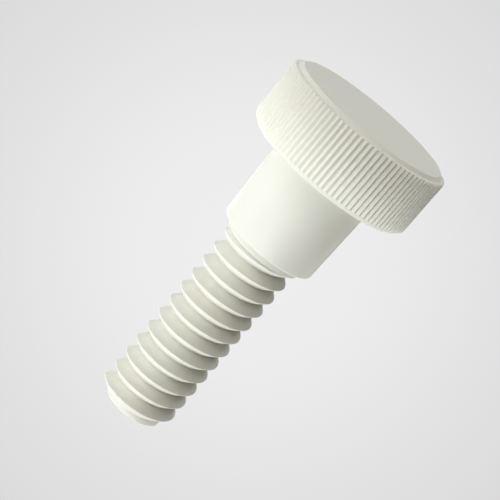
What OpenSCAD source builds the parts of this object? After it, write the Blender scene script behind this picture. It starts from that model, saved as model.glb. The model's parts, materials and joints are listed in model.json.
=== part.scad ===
// One-piece moulded thumb screw: a knurled head, a plain tapered collar and a
// short right-hand thread. It stands on the flat end of its head at z = 0, with
// the thread pointing up along +Z and its axis on the Z axis. All in millimetres.

/* [Head] */
// Diameter over the ridges of the knurl
head_d = 10.9; // [9.8:0.1:20]
// Height of the head from its flat end to its underside
head_h = 4.1; // [2:0.1:8]
// Width of the border around the raised flat end
border_w = 0.49; // [0.35:0.01:0.9]
// Height by which the flat end stands above the border
raised_h = 0.22; // [0.05:0.01:0.4]
// Width of the sloping side of the raised flat end
raised_slope_w = 0.19; // [0.02:0.01:0.25]
// Fall of the ledge from the raised end out to the rim
ledge_fall = 0.04; // [0:0.01:0.1]
// Chamfer on the rim of the ledge
rim_chamfer = 0.05; // [0.02:0.01:0.08]
// Chamfer around the underside of the head
under_chamfer = 0.35; // [0.1:0.05:0.6]

/* [Knurl] */
// Number of straight grooves around the head
knurl_count = 102; // [48:2:124]
// Radius of the round bottom of a groove
groove_r = 0.11; // [0.09:0.01:0.12]
// Depth of a groove below the ridges
groove_depth = 0.09; // [0.04:0.01:0.11]

/* [Collar] */
// Width of the flat face at the collar's end, with its rounded edge
shoulder_w = 0.615; // [0.3:0.005:0.9]
// Length of the collar
collar_l = 5.4; // [1:0.1:12]
// Taper of the collar's side, wider towards the head
draft_angle = 1.75; // [0.25:0.05:3]
// Rounding of the collar's outer edge
collar_edge_r = 0.15; // [0.05:0.01:0.25]
// How far the land under the collar stands out past the thread's crests
land_step = 0.087; // [0.03:0.001:0.3]
// Length of the land
land_l = 0.48; // [0.2:0.01:2]

/* [Thread] */
// Major diameter over the crests
thread_d = 4.826; // [3.5:0.001:6]
// Height of the ridge above the plain core
thread_depth = 0.503; // [0.3:0.001:0.64]
// Distance from one crest to the next
pitch = 1.0583; // [0.88:0.0001:1.6]
// Width of the flat top of the crest, and of the root between two ridges
crest_w = 0.05; // [0.02:0.01:0.13]
// Part of a ridge's slopes, along the axis, that is on the side facing the tip
tip_side_share = 0.44; // [0.3:0.001:0.5]
// Length of the threaded end, from the land to the tip
thread_l = 12.7; // [5:0.1:40]
// Plain core that shows between the last full ridge and the chamfer
tip_plain = 0.02; // [0.02:0.01:2]
// Chamfer on the end of the core
tip_chamfer = 0.17; // [0.05:0.01:0.2]

/* [Hidden] */
// Place of the first groove of the knurl, in steps from one groove to the next
FIRST_GROOVE = 0.32;
// Direction around the axis in which the crest comes out of the land
CREST_START = 206.4;
// Turn over which the last crest fades into the core
FADE_ANGLE = 80;
// Turn of the thread that is buried in the land and the collar
LEAD_IN = 540;
// Flat facets around one turn of the thread
THREAD_STEPS = 32;
// How far the land reaches back into the collar
SINK = 0.6;
// How far the groove cutters reach past the head
CUT = 0.1;
$fn = 96;

head_r = head_d / 2;
thread_r = thread_d / 2;
core_r = thread_r - thread_depth;
land_r = thread_r + land_step;
collar_end_r = land_r + shoulder_w;
collar_head_r = collar_end_r + collar_l * tan(draft_angle);
collar_z = head_h;
land_z = collar_z + collar_l;
thread_z = land_z + land_l;
tip_z = thread_z + thread_l;
rim_z = raised_h + ledge_fall;

module head() {
    difference() {
        rotate_extrude()
            polygon([
                [0, 0],
                [head_r - border_w, 0],
                [head_r - border_w + raised_slope_w, raised_h],
                [head_r - rim_chamfer, rim_z],
                [head_r, rim_z + rim_chamfer],
                [head_r, head_h - under_chamfer],
                [head_r - under_chamfer, head_h],
                [0, head_h]
            ]);
        for (i = [0 : knurl_count - 1])
            rotate((i + FIRST_GROOVE) * 360 / knurl_count)
                translate([head_r - groove_depth + groove_r, 0, -CUT])
                    cylinder(r = groove_r, h = head_h + 2 * CUT, $fn = 24);
    }
}

// The collar narrows from the head to a flat face with a rounded edge
module collar() {
    rotate_extrude()
        difference() {
            polygon([
                [0, collar_z - SINK],
                [collar_head_r, collar_z - SINK],
                [collar_head_r, collar_z],
                [collar_end_r, land_z - collar_edge_r],
                [collar_end_r, land_z],
                [0, land_z]
            ]);
            translate([collar_end_r - collar_edge_r, land_z - collar_edge_r])
                difference() {
                    square(2 * collar_edge_r);
                    circle(collar_edge_r);
                }
        }
}

// The plain step that seats in the mouth of the hole, ahead of the thread
module land() {
    translate([0, 0, land_z - SINK])
        cylinder(r = land_r, h = land_l + SINK);
}

// The thread is one skin that winds up the core. A section of it has four
// corners: the two edges of the crest, then the two edges of the root, and the
// root ends at the foot of the crest one turn further on. Past the last full
// ridge the crest sinks into the core, which ends in a plain rim.
step = 360 / THREAD_STEPS;
fade_steps = FADE_ANGLE / step;
crest_half = crest_w / 2;
slopes_w = pitch - 2 * crest_w;
tip_slope = slopes_w * tip_side_share / thread_depth;
head_slope = slopes_w * (1 - tip_side_share) / thread_depth;
core_end_z = tip_z - tip_chamfer;
fade_z = core_end_z - tip_plain - crest_half - thread_depth * tip_slope
    + pitch * FADE_ANGLE / 360;
last = round((LEAD_IN + (fade_z - thread_z) / pitch * 360) / step);

function spot(r, i, z) =
    let (a = i * step - LEAD_IN + CREST_START) [r * cos(a), r * sin(a), z];
function crest_z(i) = thread_z + pitch * (i * step - LEAD_IN) / 360;
function ridge(i) = thread_depth * min(1, (last - i) / fade_steps);
function tip_foot(i) = crest_z(i) + crest_half + ridge(i) * tip_slope;
function head_foot(i) = crest_z(i) - crest_half - ridge(i) * head_slope;
function root_end(i) = i + THREAD_STEPS > last
    ? (tip_foot(i) + core_end_z) / 2
    : head_foot(i + THREAD_STEPS);
function section(i) = [
    spot(core_r + ridge(i), i, crest_z(i) - crest_half),
    spot(core_r + ridge(i), i, crest_z(i) + crest_half),
    spot(core_r, i, tip_foot(i)),
    spot(core_r, i, root_end(i))
];

// Two triangles between the corners a and b of one section and c and d of the next
function patch(a, b, c, d) = [[a, b, d], [a, d, c]];

module thread() {
    turn = 4 * THREAD_STEPS;
    end = 4 * last;
    // The core's end: where the plain core starts to chamfer, and the end face
    rim = end + 4;
    face = rim + THREAD_STEPS;
    points = [
        for (i = [0 : last]) each section(i),
        for (i = [0 : THREAD_STEPS - 1]) spot(core_r, i + last, core_end_z),
        for (i = [0 : THREAD_STEPS - 1]) spot(core_r - tip_chamfer, i + last, tip_z),
        [0, 0, tip_z],
        [0, 0, crest_z(0) + pitch / 2]
    ];
    tip = face + THREAD_STEPS;
    base = tip + 1;
    crest_and_root = [for (i = [0 : last - 1], j = [0 : 2])
        each patch(4 * i + j, 4 * i + j + 1, 4 * i + j + 4, 4 * i + j + 5)];
    next_turn = [for (i = [0 : last - THREAD_STEPS - 1])
        each patch(4 * i + 3, 4 * i + turn, 4 * i + 7, 4 * i + turn + 4)];
    // From the last root to the rim of the core's end
    plain_core = [for (k = [0 : THREAD_STEPS - 1])
        let (root = end - turn + 4 * k + 3, other = (k + 1) % THREAD_STEPS)
            each k > 0
                ? patch(root, rim + k, root + 4, rim + other)
                : [
                    [root, rim + 1, root + 4],
                    [root, end, rim + 1],
                    for (j = [0 : 2]) [end + j, end + j + 1, rim + 1],
                    [end + 3, rim, rim + 1]
                ]];
    end_face = [for (k = [0 : THREAD_STEPS - 1])
        let (other = (k + 1) % THREAD_STEPS)
            each concat(patch(rim + k, face + k, rim + other, face + other),
                [[face + k, tip, face + other]])];
    buried_end = concat(
        [for (i = [0 : THREAD_STEPS - 1]) [base, 4 * i, 4 * i + 4]],
        [for (j = [0 : 2]) [base, j + 1, j]],
        [[base, turn, 3]]);
    polyhedron(points, concat(crest_and_root, next_turn, plain_core, end_face, buried_end));
}

module thumb_screw() {
    color("ivory") {
        head();
        collar();
        land();
        thread();
    }
}

thumb_screw();
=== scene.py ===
"""A one-piece moulded thumb screw, standing on the flat end of its knurled head."""

import json
import math

import bmesh
import bpy
from mathutils import Matrix, Vector


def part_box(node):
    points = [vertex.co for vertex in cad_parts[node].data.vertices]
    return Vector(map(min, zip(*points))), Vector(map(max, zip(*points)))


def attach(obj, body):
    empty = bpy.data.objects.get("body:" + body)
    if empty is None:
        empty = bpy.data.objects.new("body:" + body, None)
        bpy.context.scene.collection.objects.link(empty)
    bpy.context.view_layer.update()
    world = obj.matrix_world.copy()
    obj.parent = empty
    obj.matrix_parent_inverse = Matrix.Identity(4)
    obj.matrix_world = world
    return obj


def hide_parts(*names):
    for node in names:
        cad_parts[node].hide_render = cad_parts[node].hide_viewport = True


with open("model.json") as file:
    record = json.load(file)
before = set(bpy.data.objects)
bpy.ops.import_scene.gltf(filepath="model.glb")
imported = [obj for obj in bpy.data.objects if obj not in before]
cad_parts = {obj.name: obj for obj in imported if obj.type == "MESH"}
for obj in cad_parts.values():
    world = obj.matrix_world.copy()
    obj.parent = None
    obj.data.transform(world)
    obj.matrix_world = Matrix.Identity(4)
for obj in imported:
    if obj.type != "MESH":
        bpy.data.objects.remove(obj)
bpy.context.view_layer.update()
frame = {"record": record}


# ---- Knurled head ----
# The thick round grip that the fingers turn, moulded in nylon in one shot with the rest of the
# screw. Fine straight ridges run around its side, and run out on a ledge around the flat end and
# on a chamfer under the head.

mm = 0.001
screw_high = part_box("thumb_screw")[1]
head_r = screw_high.y
head_h = 4.1 * mm
# The raised flat end, the foot of its sloping side, and the ledge out to the rim
face_r = head_r - 0.49 * mm
border_r = head_r - 0.3 * mm
border_z = 0.22 * mm
rim_r = head_r - 0.05 * mm
ledge_fall = 0.04 * mm
groove_rim = 0.02 * mm
under_chamfer = 0.35 * mm
# How far in the knurl's fine columns reach on the two flat faces, then coarser ones on the flat end
fine_face_r = face_r * 0.97
fine_underside_r = head_r - under_chamfer * 1.3
coarse_face_r = face_r * 0.9
# How far the mould rounds the corners
soft_edge = 0.02 * mm
ledge_edge = 0.01 * mm
ridge_edge = 0.03 * mm
underside_edge = 0.04 * mm
# The knurl: the first groove's place is in steps from one groove to the next
ridge_count = 102
ridge_depth = 0.1 * mm
first_groove = 0.32
columns_per_ridge = 8
fine_columns = ridge_count * columns_per_ridge
coarse_columns = fine_columns // 4
# How far the side's two ends seem to lean, where the moulding eases into its edges
end_lean = math.radians(-26)
underside_lean = math.radians(16)

# One skin for the whole moulding. It keeps how hollow each point lies, from 0 to 1, and which way
# the eased ends of the sides face.
skin = bmesh.new()
hollow = skin.verts.layers.float.new("hollow")
eased = skin.verts.layers.float_vector.new("eased")


def rounded(corners, steps=3):
    """Points along an outline of (radius, height, rounding) corners, each rounded off."""
    points = []
    for i, (radius, height, cut) in enumerate(corners):
        here = Vector((radius, height))
        if not cut:
            points.append(here)
            continue
        before = Vector(corners[i - 1][:2]) - here
        after = Vector(corners[i + 1][:2]) - here
        cut = min(cut, before.length / 2, after.length / 2)
        start = here + before.normalized() * cut
        end = here + after.normalized() * cut
        for k in range(steps + 1):
            t = k / steps
            points.append(start * (1 - t) ** 2 + here * 2 * t * (1 - t) + end * t**2)
    return points


def ring(points, depths=None):
    """One closed row of vertices around the axis, from (radius, height) points."""
    row = []
    for i, point in enumerate(points):
        angle = 2 * math.pi * i / len(points)
        vert = skin.verts.new((point[0] * math.cos(angle), point[0] * math.sin(angle), point[1]))
        vert[hollow] = depths[i] if depths else 0.0
        row.append(vert)
    return row


def join(lower, upper):
    """The faces between two rows of the same number of vertices."""
    for i in range(len(lower)):
        j = (i + 1) % len(lower)
        skin.faces.new((lower[i], lower[j], upper[j], upper[i]))


def join_coarser(fine, coarse, turned=False):
    """The faces between a fine row and a coarser one, which may be turned over."""
    ratio = len(fine) // len(coarse)
    corners = []
    for c, here in enumerate(coarse):
        after = coarse[(c + 1) % len(coarse)]
        start = c * ratio
        for k in range(start, start + ratio):
            near = here if k < start + ratio // 2 else after
            corners.append((fine[k], fine[(k + 1) % len(fine)], near))
        corners.append((fine[start + ratio // 2], after, here))
    for face in corners:
        skin.faces.new(reversed(face) if turned else face)


def close(row, height, turned=False):
    """The flat fan of faces that closes a row, which may be turned over."""
    centre = skin.verts.new((0, 0, height))
    for i, here in enumerate(row):
        face = (here, row[(i + 1) % len(row)], centre)
        skin.faces.new(reversed(face) if turned else face)


def ridge_phase(column):
    """Where a column of the knurl lies between two grooves, as an angle that is 0 in a groove."""
    return 2 * math.pi * (column / columns_per_ridge - first_groove)


def ridge_fall(column):
    """How far a column of the knurl lies below the ridge tops, from 0 to 1."""
    return 0.5 + 0.5 * math.cos(ridge_phase(column))


def longest_step(outline):
    """The point where the longest stretch of an outline along the axis starts."""
    return max(range(len(outline) - 1), key=lambda k: outline[k + 1].y - outline[k].y)


def side_direction(column, lean):
    """Which way the knurl faces at a column, leaning along the axis as its edges are eased."""
    angle = 2 * math.pi * column / fine_columns
    slope = 0.5 * ridge_depth * ridge_count / head_r * math.sin(ridge_phase(column))
    out = Vector((math.cos(angle), math.sin(angle), 0))
    around = Vector((-math.sin(angle), math.cos(angle), 0))
    flat = (out - around * slope).normalized()
    return flat * math.cos(lean) + Vector((0, 0, math.sin(lean)))


def head_outline(fall):
    """The head's outline from its flat end to its underside, at one depth of the knurl."""
    side_r = head_r - ridge_depth * fall
    edge_r = min(rim_r, side_r - groove_rim)
    edge_z = border_z + ledge_fall * (edge_r - border_r) / (rim_r - border_r)
    bottom = head_h - (side_r - head_r + under_chamfer)
    return rounded([
        (fine_face_r, 0, 0),
        (face_r, 0, soft_edge),
        (border_r, border_z, soft_edge),
        (edge_r, edge_z, ledge_edge),
        (side_r, edge_z + side_r - edge_r, ledge_edge),
        (side_r, bottom, ridge_edge),
        (head_r - under_chamfer, head_h, underside_edge),
        (fine_underside_r, head_h, 0),
    ])


ridge_top = head_outline(0)
outlines = [head_outline(ridge_fall(c)) for c in range(fine_columns)]
rows = []
for k, top in enumerate(ridge_top):
    points = [outline[k] for outline in outlines]
    rows.append(ring(points, [(top.x - point.x) / ridge_depth for point in points]))
for lower, upper in zip(rows, rows[1:]):
    join(lower, upper)
side_start = longest_step(ridge_top)
for row, lean in zip(rows[side_start:side_start + 2], (end_lean, underside_lean)):
    for column, vert in enumerate(row):
        vert[eased] = side_direction(column, lean)

flat_row = ring([(coarse_face_r, 0)] * coarse_columns)
join_coarser(rows[0], flat_row, turned=True)
close(flat_row, 0, turned=True)


# ---- Collar and land ----
# The plain neck under the head, which narrows with the draft of the mould. It ends in a flat
# clamping face with a rounded edge, and carries a short land that centres the screw in its hole.

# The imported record's mounts say where the collar ends, and how wide and how far the land is
mounts = {mount["name"]: mount for mount in frame["record"]["mounts"]}
collar_end_z = mounts["collar_face"]["pos_m"][2]
land_r = mounts["land"]["dims"]["r_mm"] * mm
land_end_z = mounts["thread"]["pos_m"][2]
collar_head_r = 3.281 * mm
collar_end_r = 3.115 * mm
# Radii inside the flat underside and the land's end face, where the neck's outline starts and ends
neck_start_r = head_r * 0.8
land_face_r = land_r * 0.97
collar_fillet = 0.12 * mm
collar_edge = 0.15 * mm
land_foot = 0.03 * mm
land_edge = 0.05 * mm
collar_head_lean = math.radians(-6)
collar_end_lean = math.radians(14)

neck = rounded([
    (neck_start_r, head_h, 0),
    (collar_head_r, head_h, collar_fillet),
    (collar_end_r, collar_end_z, collar_edge),
    (land_r, collar_end_z, land_foot),
    (land_r, land_end_z, land_edge),
    (land_face_r, land_end_z, 0),
], steps=4)
neck_rows = [ring([point] * coarse_columns) for point in neck]
join_coarser(rows[-1], neck_rows[0])
for lower, upper in zip(neck_rows, neck_rows[1:]):
    join(lower, upper)
side_start = longest_step(neck)
side_ends = neck_rows[side_start:side_start + 2]
for row, lean in zip(side_ends, (collar_head_lean, collar_end_lean)):
    for vert in row:
        out = vert.co.xy.normalized().to_3d()
        vert[eased] = out * math.cos(lean) + Vector((0, 0, math.sin(lean)))


# ---- Thread ----
# A coarse right-hand thread moulded around a plain core. Its ridge comes out of the land at full
# height and sinks back into the core just before the tip, which has a small chamfer.

thread_r = mounts["thread"]["dims"]["r_mm"] * mm
core_r = 1.91 * mm
pitch = 1.0583 * mm
crest_half = 0.025 * mm
crest_edge = 0.012 * mm
crest_steps = 3
# The ridge leans: its side towards the tip takes less of the pitch than the side towards the head
slopes = pitch - 4 * crest_half
tip_side_share = 0.44
tip_run = slopes * tip_side_share
head_run = slopes - tip_run
# Angles along the thread, in degrees: where the crest leaves the land and where its ridge is gone
crest_start = 206.4
crest_end = 4198
fade_turn = 80
tip_chamfer = 0.17 * mm
tip_edge = 0.02 * mm
tip_face_r = core_r * 0.5
core_end_z = screw_high.z - tip_chamfer
# Enough turns to reach from inside the land to past the tip. A turn has four corners, and a
# rounded corner has one point more than it has steps.
turns = range(-2, 14)
points_per_turn = 4 * (crest_steps + 1)


def ridge_height(angle):
    """How much of the ridge is left, by its angle from where it leaves the land."""
    return min(1, max(0, (crest_end - angle) / fade_turn))


def thread_outline(turn_angle):
    """The thread's outline in one direction around the axis, from the land to the core's end."""
    corners = []
    for turn in turns:
        angle = turn_angle - crest_start + 360 * turn
        middle = land_end_z + pitch * angle / 360
        height = ridge_height(angle)
        crest_r = core_r + (thread_r - core_r) * height
        corners += [
            (core_r, middle - crest_half - head_run * height, crest_edge),
            (crest_r, middle - crest_half, crest_edge),
            (crest_r, middle + crest_half, crest_edge),
            (core_r, middle + crest_half + tip_run * height, crest_edge),
        ]
    corners[0] = (core_r, corners[0][1], 0)
    corners[-1] = (core_r, corners[-1][1], 0)
    return rounded(corners, crest_steps)


def trimmed(outline):
    """The outline cut off at the land and at the core's end, with as many points as before."""
    below = max(i for i, point in enumerate(outline) if point.y < land_end_z)
    a, b = outline[below], outline[below + 1]
    start = a.lerp(b, (land_end_z - a.y) / (b.y - a.y))
    end = Vector((core_r, core_end_z))
    above_land = [start if point.y < land_end_z else point for point in outline]
    return [end if point.y > core_end_z else point for point in above_land]


def thread_column(column):
    """The vertices of the thread in one direction around the axis."""
    angle = 2 * math.pi * column / coarse_columns
    verts = []
    for point in trimmed(thread_outline(math.degrees(angle))):
        vert = skin.verts.new((point.x * math.cos(angle), point.x * math.sin(angle), point.y))
        vert[hollow] = (thread_r - point.x) / (thread_r - core_r)
        verts.append(vert)
    return verts


thread = [thread_column(c) for c in range(coarse_columns)]
for c in range(coarse_columns):
    here, after = thread[c], thread[(c + 1) % coarse_columns]
    # Where the columns come around, each turn meets the next one
    shift = points_per_turn if c == coarse_columns - 1 else 0
    for k in range(len(here) - 1 - shift):
        skin.faces.new((here[k], after[k + shift], after[k + shift + 1], here[k + 1]))
join(neck_rows[-1], [column[0] for column in thread])

tip = rounded([
    (core_r, core_end_z, 0),
    (core_r - tip_chamfer, screw_high.z, tip_edge),
    (tip_face_r, screw_high.z, 0),
])
tip_rows = [ring([point] * coarse_columns) for point in tip]
join([column[-1] for column in thread], tip_rows[0])
for lower, upper in zip(tip_rows, tip_rows[1:]):
    join(lower, upper)
close(tip_rows[-1], screw_high.z)


# ---- One moulding ----
# Head, collar, land and thread come out of the mould as one piece of nylon, with no joint or seam.
# The shading is even, and leans over where the sides of the head and of the collar ease at their ends.

same_place = 0.0002 * mm
sharp_from = math.radians(35)
bmesh.ops.remove_doubles(skin, verts=skin.verts, dist=same_place)
bmesh.ops.dissolve_degenerate(skin, edges=skin.edges, dist=same_place)
mesh = bpy.data.meshes.new("thumb_screw_moulding")
skin.to_mesh(mesh)
skin.free()
mesh.shade_smooth()
mesh.set_sharp_from_angle(angle=sharp_from)
screw = bpy.data.objects.new("thumb_screw_moulding", mesh)
bpy.context.scene.collection.objects.link(screw)
directions = [Vector(entry.vector) for entry in mesh.attributes["eased"].data]
evened = screw.vertex_groups.new(name="evened")
evened.add([i for i, lean in enumerate(directions) if not lean.length], 1, "REPLACE")
shading = screw.modifiers.new("even shading", "WEIGHTED_NORMAL")
shading.keep_sharp = True
shading.vertex_group = evened.name
mesh.normals_split_custom_set_from_vertices(directions)


# ---- Ivory nylon ----
# The natural nylon of the moulding: a warm white with a satin skin. It clouds a little where the
# melt cooled, and the ridges and crests are polished by handling. Between them the colour is darkened
# as painted shade.

ivory = (0.82, 0.82, 0.74, 1)
warm_cloud = (0.83, 0.805, 0.68, 1)
grey_cloud = (0.79, 0.79, 0.73, 1)
# Painted shade: the darker colour laid into the hollows of the knurl and the thread
groove_shade_colour = (0.6, 0.57, 0.46, 1)


def shader_group(name, ins, outs):
    """A shader node group with its input and output sockets."""
    group = bpy.data.node_groups.new(name, "ShaderNodeTree")
    for side, sockets in (("INPUT", ins), ("OUTPUT", outs)):
        for label, kind in sockets:
            group.interface.new_socket(label, in_out=side, socket_type="NodeSocket" + kind)
    return group, group.nodes.new("NodeGroupInput"), group.nodes.new("NodeGroupOutput")


def noise(tree, place, scale, detail, roughness):
    """A noise texture on object coordinates."""
    texture = tree.nodes.new("ShaderNodeTexNoise")
    texture.inputs["Scale"].default_value = scale
    texture.inputs["Detail"].default_value = detail
    texture.inputs["Roughness"].default_value = roughness
    tree.links.new(place, texture.inputs["Vector"])
    return texture.outputs["Fac"]


def spread(tree, value, old, new):
    """A value stretched from an old range to a new one and held there."""
    stretch = tree.nodes.new("ShaderNodeMapRange")
    for label, number in zip(("From Min", "From Max", "To Min", "To Max"), old + new):
        stretch.inputs[label].default_value = number
    tree.links.new(value, stretch.inputs["Value"])
    return stretch.outputs["Result"]


def combine(tree, operation, a, b):
    """Two values, multiplied or taken one from the other."""
    result = tree.nodes.new("ShaderNodeMath")
    result.operation = operation
    tree.links.new(a, result.inputs[0])
    tree.links.new(b, result.inputs[1])
    return result.outputs["Value"]


def tint(tree, amount, before, colour):
    """A colour taken towards another one by an amount."""
    mix = tree.nodes.new("ShaderNodeMix")
    mix.data_type = "RGBA"
    tree.links.new(amount, mix.inputs["Factor"])
    tree.links.new(before, mix.inputs["A"])
    mix.inputs["B"].default_value = colour
    return mix.outputs["Result"]


# The melt: wide warm clouds, smaller grey ones, a skin that is rougher in places, and a fine grain
melt, given, made = shader_group(
    "melt_clouds",
    [("Place", "Vector"), ("Colour", "Color")],
    [("Colour", "Color"), ("Roughness", "Float"), ("Height", "Float")])
place = given.outputs["Place"]
warm = spread(melt, noise(melt, place, scale=160, detail=3, roughness=0.5), (0.4, 0.7), (0, 0.35))
grey = spread(melt, noise(melt, place, scale=520, detail=4, roughness=0.6), (0.5, 0.75), (0, 0.3))
satin = spread(melt, noise(melt, place, scale=1400, detail=4, roughness=0.6), (0.3, 0.7), (0.46, 0.58))
shade = tint(melt, warm, given.outputs["Colour"], warm_cloud)
shade = tint(melt, grey, shade, grey_cloud)
melt.links.new(shade, made.inputs["Colour"])
melt.links.new(satin, made.inputs["Roughness"])
melt.links.new(noise(melt, place, scale=9000, detail=5, roughness=0.6), made.inputs["Height"])

# In patches: painted shade that darkens the colour in the hollows, and polish from handling on the
# ridges
polish_and_groove_shade, given, made = shader_group(
    "polish_and_groove_shade",
    [("Place", "Vector"), ("Colour", "Color"), ("Roughness", "Float"), ("Hollow", "Float")],
    [("Colour", "Color"), ("Roughness", "Float")])
place = given.outputs["Place"]
patches = spread(polish_and_groove_shade, noise(polish_and_groove_shade, place, scale=420, detail=2, roughness=0.5),
                 (0.35, 0.65), (0.5, 1))
# Painted shade: the deeper a point lies in a hollow, the darker its colour
groove_shade = spread(polish_and_groove_shade, given.outputs["Hollow"], (0.45, 1), (0, 0.2))
groove_shade = combine(polish_and_groove_shade, "MULTIPLY", groove_shade, patches)
polish = spread(polish_and_groove_shade, given.outputs["Hollow"], (0.25, 0), (0, 0.12))
polish = combine(polish_and_groove_shade, "MULTIPLY", polish, patches)
handled = combine(polish_and_groove_shade, "SUBTRACT", given.outputs["Roughness"], polish)
# The colour with the painted shade of the hollows laid in
groove_shaded = tint(polish_and_groove_shade, groove_shade, given.outputs["Colour"], groove_shade_colour)
polish_and_groove_shade.links.new(groove_shaded, made.inputs["Colour"])
polish_and_groove_shade.links.new(handled, made.inputs["Roughness"])

nylon = bpy.data.materials.new("ivory_nylon")
nylon.use_nodes = True
nodes, links = nylon.node_tree.nodes, nylon.node_tree.links
shader = nodes["Principled BSDF"]
shader.inputs["IOR"].default_value = 1.5
shader.inputs["Specular IOR Level"].default_value = 0.3
shader.inputs["Subsurface Weight"].default_value = 0.1
shader.inputs["Subsurface Radius"].default_value = (1, 0.85, 0.6)
shader.inputs["Subsurface Scale"].default_value = 0.15 * mm
place = nodes.new("ShaderNodeTexCoord")
depth = nodes.new("ShaderNodeAttribute")
depth.attribute_name = "hollow"
body = nodes.new("ShaderNodeGroup")
body.node_tree = melt
body.inputs["Colour"].default_value = ivory
# The node that adds polish on the ridges and painted shade in the hollows
polished_and_shaded = nodes.new("ShaderNodeGroup")
polished_and_shaded.node_tree = polish_and_groove_shade
grain = nodes.new("ShaderNodeBump")
grain.inputs["Strength"].default_value = 0.05
grain.inputs["Distance"].default_value = 0.01 * mm
links.new(place.outputs["Object"], body.inputs["Place"])
links.new(place.outputs["Object"], polished_and_shaded.inputs["Place"])
links.new(body.outputs["Colour"], polished_and_shaded.inputs["Colour"])
links.new(body.outputs["Roughness"], polished_and_shaded.inputs["Roughness"])
links.new(depth.outputs["Fac"], polished_and_shaded.inputs["Hollow"])
links.new(body.outputs["Height"], grain.inputs["Height"])
links.new(polished_and_shaded.outputs["Colour"], shader.inputs["Base Color"])
links.new(polished_and_shaded.outputs["Roughness"], shader.inputs["Roughness"])
links.new(grain.outputs["Normal"], shader.inputs["Normal"])

screw.data.materials.append(nylon)
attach(screw, "root")
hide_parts("thumb_screw")


# ---- Floor ----
# A plain pale floor just under the head. Away from the screw it fades into the background, and
# seen from below it isn't there.

floor_r = 0.4
floor_gap = 0.02 * mm
fade_start = 0.02
fade_end = 0.14
far_grey = (0.69, 0.69, 0.69, 1)

bpy.ops.mesh.primitive_circle_add(vertices=96, radius=floor_r, fill_type="NGON",
                                  location=(0, 0, -floor_gap))
floor = bpy.context.object
floor.name = "floor"
for kind in ("diffuse", "glossy", "transmission", "volume_scatter", "shadow"):
    setattr(floor, "visible_" + kind, False)
pale = bpy.data.materials.new("pale_floor")
pale.use_nodes = True
nodes, links = pale.node_tree.nodes, pale.node_tree.links
shader = nodes["Principled BSDF"]
shader.inputs["Base Color"].default_value = (0.8, 0.8, 0.8, 1)
shader.inputs["Roughness"].default_value = 0.9
spot = nodes.new("ShaderNodeTexCoord")
reach = nodes.new("ShaderNodeVectorMath")
reach.operation = "LENGTH"
away = nodes.new("ShaderNodeMapRange")
away.interpolation_type = "SMOOTHSTEP"
away.inputs["From Min"].default_value = fade_start
away.inputs["From Max"].default_value = fade_end
background = nodes.new("ShaderNodeEmission")
background.inputs["Color"].default_value = far_grey
fade = nodes.new("ShaderNodeMixShader")
clear = nodes.new("ShaderNodeBsdfTransparent")
above_only = nodes.new("ShaderNodeMixShader")
side = nodes.new("ShaderNodeNewGeometry")
links.new(spot.outputs["Object"], reach.inputs[0])
links.new(reach.outputs["Value"], away.inputs["Value"])
links.new(away.outputs["Result"], fade.inputs["Fac"])
links.new(shader.outputs["BSDF"], fade.inputs[1])
links.new(background.outputs["Emission"], fade.inputs[2])
links.new(side.outputs["Backfacing"], above_only.inputs["Fac"])
links.new(fade.outputs["Shader"], above_only.inputs[1])
links.new(clear.outputs["BSDF"], above_only.inputs[2])
links.new(above_only.outputs["Shader"], nodes["Material Output"].inputs["Surface"])
floor.data.materials.append(pale)


# ---- Camera ----
# It looks a little up at the flat end of the head, and it is tipped so that the head is at the
# upper right and the thread runs down to the lower left.

aim = Vector((0.545, 0, 10.515)) * mm
camera_place = Vector((0, -91.516, -15.234)) * mm
tip_over = math.radians(139.9)

camera = bpy.data.objects.new("camera", bpy.data.cameras.new("camera"))
bpy.context.scene.collection.objects.link(camera)
camera.location = camera_place
look = (aim - camera_place).to_track_quat("-Z", "Y").to_matrix().to_4x4()
camera.rotation_mode = "QUATERNION"
camera.rotation_quaternion = (look @ Matrix.Rotation(-tip_over, 4, "Z")).to_quaternion()
camera.data.lens = 118.1
camera.data.sensor_width = 36
camera.data.clip_start = 0.01
bpy.context.scene.camera = camera


# ---- Light ----
# A soft studio of large round lamps in a nearly dark room. The background is a pale grey that is
# lightest behind the screw. It shows to the camera and in what is glossy or clear, and lights no
# dull surface.

scene = bpy.context.scene
scene.view_settings.view_transform = "Standard"

near_grey = (0.86, 0.86, 0.87, 1)
between_grey = (0.77, 0.77, 0.775, 1)
between_place = 0.4
background_spread = math.radians(13)
room_strength = 0.01

world = bpy.data.worlds.new("studio")
scene.world = world
world.use_nodes = True
nodes, links = world.node_tree.nodes, world.node_tree.links
room = nodes["Background"]
room.inputs["Color"].default_value = (1, 1, 1, 1)
room.inputs["Strength"].default_value = room_strength
wall = nodes.new("ShaderNodeBackground")
direction = nodes.new("ShaderNodeTexCoord")
middle = nodes.new("ShaderNodeVectorMath")
middle.operation = "DOT_PRODUCT"
middle.inputs[1].default_value = (aim - camera_place).normalized()
off_middle = nodes.new("ShaderNodeMapRange")
off_middle.inputs["From Min"].default_value = 1
off_middle.inputs["From Max"].default_value = math.cos(background_spread)
greys = nodes.new("ShaderNodeValToRGB")
stops = greys.color_ramp.elements
stops[0].color = near_grey
stops[1].color = far_grey
stops.new(between_place).color = between_grey
rays = nodes.new("ShaderNodeLightPath")
camera_or_glossy = nodes.new("ShaderNodeMath")
camera_or_glossy.operation = "MAXIMUM"
seen = nodes.new("ShaderNodeMath")
seen.operation = "MAXIMUM"
choice = nodes.new("ShaderNodeMixShader")
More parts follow.
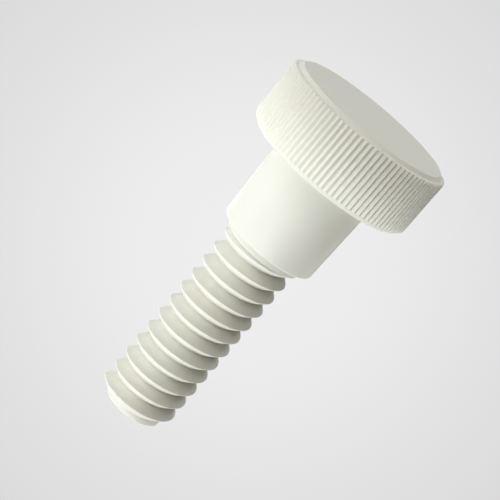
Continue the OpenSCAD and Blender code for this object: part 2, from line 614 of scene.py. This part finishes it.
links.new(direction.outputs["Generated"], middle.inputs[0])
links.new(middle.outputs["Value"], off_middle.inputs["Value"])
links.new(off_middle.outputs["Result"], greys.inputs["Fac"])
links.new(greys.outputs["Color"], wall.inputs["Color"])
links.new(rays.outputs["Is Camera Ray"], camera_or_glossy.inputs[0])
links.new(rays.outputs["Is Glossy Ray"], camera_or_glossy.inputs[1])
links.new(camera_or_glossy.outputs["Value"], seen.inputs[0])
links.new(rays.outputs["Is Transmission Ray"], seen.inputs[1])
links.new(seen.outputs["Value"], choice.inputs["Fac"])
links.new(room.outputs["Background"], choice.inputs[1])
links.new(wall.outputs["Background"], choice.inputs[2])
links.new(choice.outputs["Shader"], nodes["World Output"].inputs["Surface"])

lamp_distance = 0.4
lamp_size = 0.28
white = (1, 1, 1)
cool = (0.95, 0.98, 1)
warm = (1, 0.95, 0.85)
screw_middle = Vector((0, 0, screw_high.z / 2))
# Each lamp's name, its direction around the screw and its height in degrees, its power and tint.
# Low is towards the head's flat end, and left is +X, which is on the left of the tipped view.
lamps = [
    ("over_tip", 255, 60, 0.87, white),
    ("over_front", 285, 50, 0.82, cool),
    ("right_behind", 140, 15, 0.27, warm),
    ("behind", 80, 30, 0.5, white),
    ("left_behind", 35, 5, 0.36, white),
    ("left", 345, 5, 0.79, cool),
    ("low_left", 315, -35, 0.45, white),
    ("low_front", 265, -40, 0.31, warm),
    ("under_head", 140, -75, 0.58, white),
]
for name, around, height, power, tint_of_lamp in lamps:
    lamp = bpy.data.objects.new(name, bpy.data.lights.new(name, "AREA"))
    scene.collection.objects.link(lamp)
    lamp.data.shape = "DISK"
    lamp.data.size = lamp_size
    lamp.data.energy = power
    lamp.data.color = tint_of_lamp
    raised = Matrix.Rotation(math.radians(-height), 3, "Y") @ Vector((1, 0, 0))
    toward = Matrix.Rotation(math.radians(around), 3, "Z") @ raised
    lamp.location = screw_middle + toward * lamp_distance
    lamp.rotation_mode = "QUATERNION"
    lamp.rotation_quaternion = (-toward).to_track_quat("-Z", "Y")
